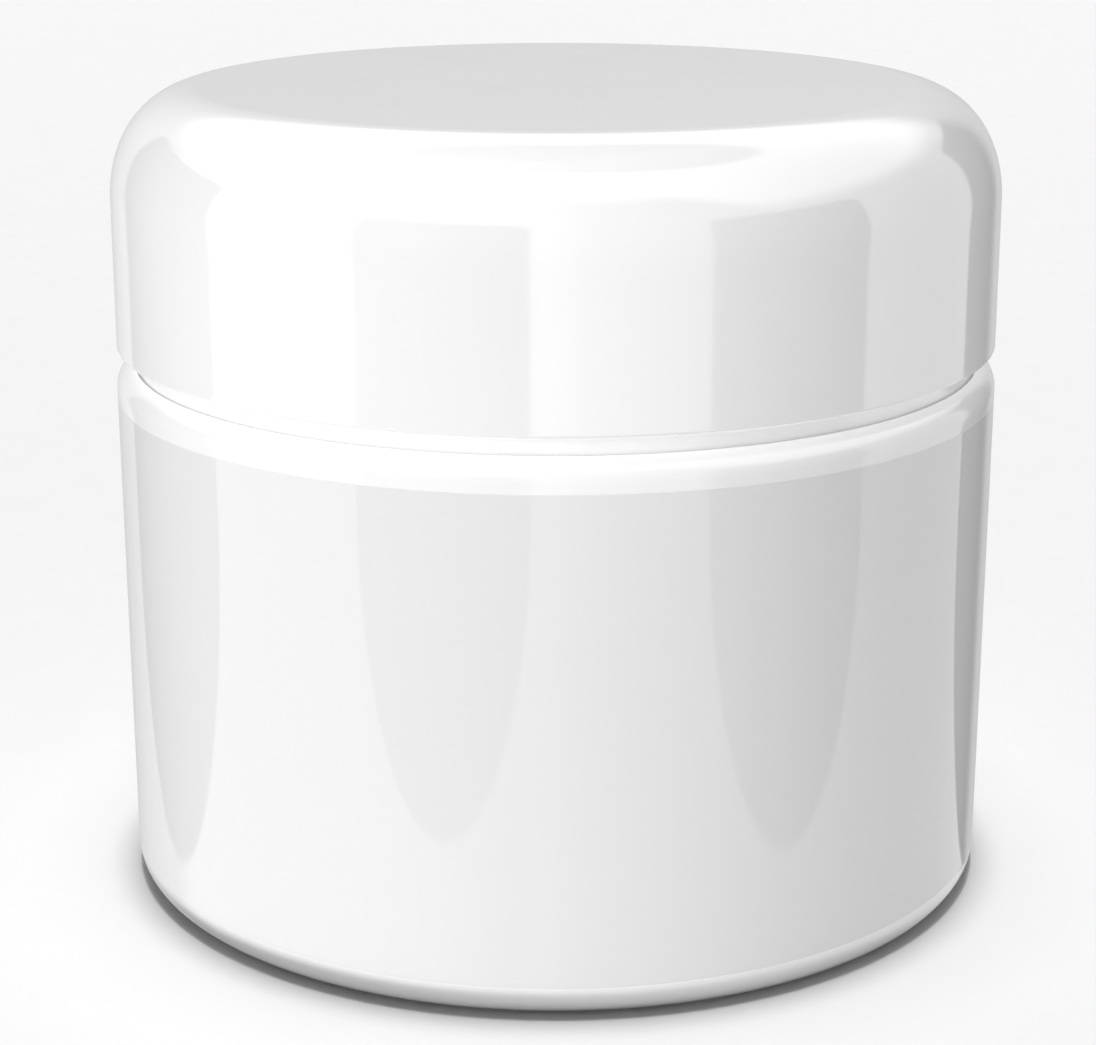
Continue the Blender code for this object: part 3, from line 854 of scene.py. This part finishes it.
def noise_of(graph, place, size, detail):
    """A noise whose features are about size millimetres across."""
    inputs = {
        "Vector": place,
        "Scale": 1 / (size * MM),
        "Detail": detail,
        "Roughness": NOISE_ROUGHNESS,
    }
    return graph.node("ShaderNodeTexNoise", inputs).outputs[0]


def bumps(graph, *layers):
    """Stacks bump nodes. Each layer is (height socket from 0 to 1, depth in millimetres)."""
    normal = None
    for height, depth in layers:
        inputs = {"Height": height, "Distance": depth * MM, "Strength": 1.0}
        if normal is not None:
            inputs["Normal"] = normal
        normal = graph.node("ShaderNodeBump", inputs).outputs[0]
    return normal


def grey(value):
    return (value, value, value, 1)


def make_materials():
    return {
        "lid_shell": moulded(
            "lid gloss plastic",
            grey(0.94),
            grey(0.93),
            (0.06, 0.09),
            (9.0, 0.0012),
            GLOSS_GRAIN,
            IOR=1.88,
        ),
        "outer_jar": moulded(
            "jar gloss plastic",
            grey(0.94),
            grey(0.93),
            (0.07, 0.11),
            (8.0, 0.0012),
            GLOSS_GRAIN,
            IOR=1.6,
        ),
        "inner_cup": moulded(
            "cup plastic", grey(0.94), grey(0.925), (0.14, 0.2), (7.0, 0.002), (0.4, 0.0004)
        ),
        "wrap_label": moulded(
            "label film", grey(0.80), grey(0.795), (0.012, 0.025), (12.0, 0.0006), (0.5, 0.00005)
        ),
        "cream": moulded(
            "cream",
            (0.93, 0.89, 0.81, 1),
            (0.90, 0.85, 0.76, 1),
            (0.28, 0.42),
            (2.2, 0.05),
            (0.35, 0.004),
            **{"Subsurface Weight": 0.35, "Subsurface Radius": (2, 1.4, 1.0), "Subsurface Scale": MM},
        ),
        "sealing_disc": moulded(
            "disc soft plastic", DISC_COLOUR, DISC_SHADE, DISC_POLISH, (6.0, 0.006), DISC_GRAIN
        ),
        "disc_pull_tab": moulded(
            "tab soft plastic", DISC_COLOUR, DISC_SHADE, DISC_POLISH, (4.0, 0.004), DISC_GRAIN
        ),
        "lid_liner": moulded(
            "liner foam",
            (0.93, 0.93, 0.92, 1),
            (0.86, 0.86, 0.85, 1),
            (0.75, 0.9),
            (1.6, 0.03),
            (0.22, 0.02),
        ),
        "lid_insert": moulded(
            "insert satin plastic", grey(0.92), grey(0.9), (0.22, 0.34), (6.0, 0.004), (0.3, 0.0012)
        ),
    }


# The stage.


def direction(azimuth, elevation):
    """A unit vector. Azimuth 0 is the front, -Y, and 90 is the right, +X."""
    a, e = math.radians(azimuth), math.radians(elevation)
    return Vector((math.sin(a) * math.cos(e), -math.cos(a) * math.cos(e), math.sin(e)))


def make_camera():
    data = bpy.data.cameras.new("camera")
    data.sensor_width = SENSOR
    data.sensor_fit = "HORIZONTAL"
    data.lens = LENS
    data.shift_x = CAMERA_SHIFT
    data.clip_start = CAMERA_CLIP[0] * MM
    data.clip_end = CAMERA_CLIP[1] * MM
    camera = bpy.data.objects.new("camera", data)
    camera.location = Vector(CAMERA_PLACE) * MM
    camera.rotation_euler = Euler((math.pi / 2 - CAMERA_PITCH, 0, 0))
    bpy.context.scene.collection.objects.link(camera)
    bpy.context.scene.camera = camera


# The studio that the jar mirrors, as radiances and degrees of azimuth and elevation. A pair of values is
# where a soft edge starts and ends. Bright panels stand all round, with a dim window between each two.
BACKDROP = 0.93
AMBIENT = 0.14
LEFT_LIGHT = 1.3
FRONT_LIGHT = 1.05
HIGH_LIGHT = 1.2
BACK_LIGHT = 0.62
WINDOW_LIGHT = 0.12
STREAK_LIGHT = 0.25
GROUND_LIGHT = 0.1
STREAK_AZIMUTH = -2.0
STREAK_REACH = 11.0

# The windows: each has nearly straight sides, a square top and a round foot.
WINDOW_AZIMUTH = 61.3
WINDOW_EVERY = 90.0
WINDOW_HALF_WIDTH = 22.5
WINDOW_TOP = (15.0, 21.5)
WINDOW_TOP_POWER = 6.0
WINDOW_FOOT = (-16.2, -23.3)
WINDOW_FOOT_POWER = 2.0
WINDOW_EDGE = (0.96, 1.04)

# The part of a window near straight back is left out, because the lid's flat top would mirror it.
NO_WINDOW_REACH = (22.0, 34.0)

# A round patch nearly overhead, which is partly as dim as a window.
TOP_WINDOW = (156.0, 81.5)
TOP_WINDOW_REACH = (22.0, 25.5)
TOP_WINDOW_DEPTH = 0.5

# How far the left and back panels reach to each side of their middle. The light from above starts
# higher up in front of the jar than elsewhere, by HIGH_DELAY.
LEFT_AZIMUTH = -74.0
LEFT_REACH = (42.0, 60.0)
HIGH_RAMP = (22.0, 33.0)
HIGH_DELAY = 16.0
HIGH_DELAY_AZIMUTH = 15.0
HIGH_DELAY_REACH = (15.0, 45.0)
BACK_AZIMUTH = -164.0
BACK_REACH = (38.0, 52.0)
GROUND_FADE = (-44.0, -26.0)

# Distant lights: azimuth, elevation and spread in degrees, and the radiance of a white sheet that faces
# the light. The top light stands for light that gets everywhere, so it casts no shadow.
JAR_SUNS = {
    "key light": (-47, 10, 40, 0.82),
    "right light": (50, 20, 40, 0.07),
    "rear light": (180, 50, 40, 0.3),
    "top light": (60, 70, 40, 0.35),
}
FLOOR_SUNS = {
    "floor light": (180, 89.6, 6, 0.82),
    "wide floor light": (180, 89.0, 24, 0.38),
}
SHADOWLESS = ("top light",)

# The floor: half its width, its cells along each side, and the share of its light that it sends back.
FLOOR_HALF_SIZE = 4000.0
FLOOR_CELLS = 8
FLOOR_BOUNCE = 0.85

# The black ring round the base: its distance from the jar's wall, its height and its facets.
FLAG_GAP = 1.6
FLAG_HEIGHT = 2.4
FLAG_SEGMENTS = 96


def turn_from(graph, azimuth, middle):
    """How far an azimuth lies from a middle one, in degrees from 0 to 180."""
    turn = graph.maths("WRAP", graph.maths("SUBTRACT", azimuth, middle), 180.0, -180.0)
    return graph.maths("ABSOLUTE", turn)


def window_mask(graph, facing, azimuth, elevation):
    """1 in a window, 0 outside, and in between on soft edges and in the patch overhead.

    A window's outline is a superellipse, whose power goes from that of its foot to that of its top
    at the horizon.
    """
    half = WINDOW_EVERY / 2
    across = graph.maths("WRAP", graph.maths("SUBTRACT", azimuth, WINDOW_AZIMUTH), half, -half)
    across = graph.maths("DIVIDE", graph.maths("ABSOLUTE", across), WINDOW_HALF_WIDTH)
    above = graph.mapped(elevation, *WINDOW_TOP, 0.0, 1.0, clamp=False)
    below = graph.mapped(elevation, *WINDOW_FOOT, 0.0, 1.0, clamp=False)
    along = graph.maths("MAXIMUM", graph.maths("MAXIMUM", above, below), 0.0)
    power = graph.mapped(elevation, -1.0, 1.0, WINDOW_FOOT_POWER, WINDOW_TOP_POWER)
    reach = graph.maths("ADD", graph.maths("POWER", across, power), graph.maths("POWER", along, power))
    window = graph.mapped(reach, *WINDOW_EDGE, 1.0, 0.0)
    window = graph.mapped(turn_from(graph, azimuth, 180.0), *NO_WINDOW_REACH, 0.0, window)
    top = graph.node(
        "ShaderNodeVectorMath", {0: facing, 1: direction(*TOP_WINDOW)}, operation="DOT_PRODUCT"
    )
    from_top = graph.maths("DEGREES", graph.maths("ARCCOSINE", top.outputs["Value"]))
    patch = graph.mapped(from_top, *TOP_WINDOW_REACH, TOP_WINDOW_DEPTH, 0.0)
    return graph.maths("MAXIMUM", window, patch)


def panel_light(graph, azimuth, elevation):
    """The radiance of the panels, with the streak in front of the jar and the light from above."""
    panel = graph.mapped(turn_from(graph, azimuth, LEFT_AZIMUTH), *LEFT_REACH, LEFT_LIGHT, FRONT_LIGHT)
    panel = graph.mapped(turn_from(graph, azimuth, BACK_AZIMUTH), *BACK_REACH, BACK_LIGHT, panel)
    streak = graph.mapped(turn_from(graph, azimuth, STREAK_AZIMUTH), 0.0, STREAK_REACH, STREAK_LIGHT, 0.0)
    delay = graph.mapped(
        turn_from(graph, azimuth, HIGH_DELAY_AZIMUTH), *HIGH_DELAY_REACH, HIGH_DELAY, 0.0
    )
    high = graph.mapped(graph.maths("SUBTRACT", elevation, delay), *HIGH_RAMP, 0.0, HIGH_LIGHT)
    return graph.maths("ADD", graph.maths("ADD", panel, streak), high)


def make_world():
    """The studio for reflections, an even backdrop for the camera, and a dim light for everything else."""
    world = bpy.data.worlds.new("studio")
    bpy.context.scene.world = world
    world.use_nodes = True
    world.cycles.sampling_method = "NONE"
    tree = world.node_tree
    tree.nodes.clear()
    graph = Graph(tree)
    facing = graph.node("ShaderNodeTexCoord").outputs["Generated"]
    axes = graph.node("ShaderNodeSeparateXYZ", {0: facing})
    backward = graph.maths("MULTIPLY", axes.outputs[1], -1.0)
    azimuth = graph.maths("DEGREES", graph.maths("ARCTAN2", axes.outputs[0], backward))
    elevation = graph.maths("DEGREES", graph.maths("ARCSINE", axes.outputs[2]))
    window = window_mask(graph, facing, azimuth, elevation)
    panel = panel_light(graph, azimuth, elevation)
    studio = graph.mapped(window, 0.0, 1.0, panel, WINDOW_LIGHT, smooth=False)
    studio = graph.mapped(elevation, *GROUND_FADE, GROUND_LIGHT, studio)
    path = graph.node("ShaderNodeLightPath")
    ambient = graph.mapped(elevation, *GROUND_FADE, 0.0, AMBIENT)
    light = graph.mapped(path.outputs["Is Glossy Ray"], 0.0, 1.0, ambient, studio, smooth=False)
    light = graph.mapped(path.outputs["Is Camera Ray"], 0.0, 1.0, light, BACKDROP, smooth=False)
    shown = graph.node("ShaderNodeBackground", {"Color": grey(1.0), "Strength": light})
    graph.node("ShaderNodeOutputWorld", {"Surface": shown.outputs[0]})


def add_sun(name, azimuth, elevation, spread, radiance, receivers, blockers=None):
    """A soft distant light on the objects in receivers alone, which shows in no reflection.

    Only the objects in blockers shade it, or every object if there is no such collection.
    """
    data = bpy.data.lights.new(name, "SUN")
    data.energy = radiance * math.pi
    data.angle = math.radians(spread)
    data.use_shadow = name not in SHADOWLESS
    sun = bpy.data.objects.new(name, data)
    sun.rotation_euler = direction(azimuth, elevation).to_track_quat("Z", "Y").to_euler()
    sun.visible_glossy = False
    sun.visible_camera = False
    sun.light_linking.receiver_collection = receivers
    sun.light_linking.blocker_collection = blockers
    bpy.context.scene.collection.objects.link(sun)


def make_floor():
    """A pale sheet that shows in no reflection and sends only part of its light back to the jar."""
    bm = bmesh.new()
    bmesh.ops.create_grid(
        bm, x_segments=FLOOR_CELLS, y_segments=FLOOR_CELLS, size=FLOOR_HALF_SIZE * MM
    )
    floor = new_object("floor", bm)
    floor.location.z = bottom_of("outer_jar") * MM
    material = moulded("pale floor", grey(0.65), grey(0.645), (0.6, 0.7), (40.0, 0.01), (0.8, 0.002))
    graph = Graph(material.node_tree)
    out = material.node_tree.get_output_node("ALL")
    paper = out.inputs["Surface"].links[0].from_socket
    dark = graph.node("ShaderNodeBsdfDiffuse", {"Color": grey(0.0)}).outputs[0]
    is_bounce = graph.node("ShaderNodeLightPath").outputs["Is Diffuse Ray"]
    lost = graph.mapped(is_bounce, 0.0, 1.0, 0.0, 1.0 - FLOOR_BOUNCE, smooth=False)
    dimmed = graph.node("ShaderNodeMixShader", {0: lost, 1: paper, 2: dark}).outputs[0]
    graph.put(out.inputs["Surface"], dimmed)
    floor.data.materials.append(material)
    floor.visible_glossy = False
    return floor


def make_flag():
    """A low black ring on the floor round the jar, out of the camera's sight, that shades its base."""
    middle = Matrix.Translation((0, 0, FLAG_HEIGHT / 2 * MM))
    flag = drum("base_flag", BODY_RADIUS + FLAG_GAP, FLAG_HEIGHT, FLAG_SEGMENTS, middle, capped=False)
    cloth = moulded("black cloth", grey(0.01), grey(0.012), (0.8, 0.9), (3, 0.1), (1, 0.05))
    flag.data.materials.append(cloth)
    flag.visible_camera = False
    flag.visible_diffuse = False
    flag.visible_glossy = False


def collection_of(name, objects):
    collection = bpy.data.collections.new(name)
    for obj in objects:
        collection.objects.link(obj)
    return collection


PIECES = {
    "outer_jar": (make_outer_jar, "jar"),
    "inner_cup": (make_inner_cup, "jar"),
    "wrap_label": (make_wrap_label, "jar"),
    "cream": (make_cream, "jar"),
    "sealing_disc": (make_sealing_disc, "disc"),
    "disc_pull_tab": (make_pull_tab, "pull_tab"),
    "lid_liner": (make_lid_liner, "liner"),
    "lid_insert": (make_lid_insert, "lid"),
    "lid_shell": (make_lid_shell, "lid"),
}


def make_pieces():
    materials = make_materials()
    made = []
    for node, (make, body) in PIECES.items():
        piece = smoothed(make())
        piece.data.materials.clear()
        piece.data.materials.append(materials[node])
        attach(piece, body)
        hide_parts(node)
        made.append(piece)
    return made


def main():
    bpy.context.scene.view_settings.view_transform = "Standard"
    make_camera()
    pieces = make_pieces()
    floor = make_floor()
    make_world()
    jar_only = collection_of("lit_pieces", pieces)
    floor_only = collection_of("lit_floor", [floor])
    make_flag()
    for name, values in JAR_SUNS.items():
        add_sun(name, *values, jar_only)
    for name, values in FLOOR_SUNS.items():
        add_sun(name, *values, floor_only, blockers=jar_only)


main()
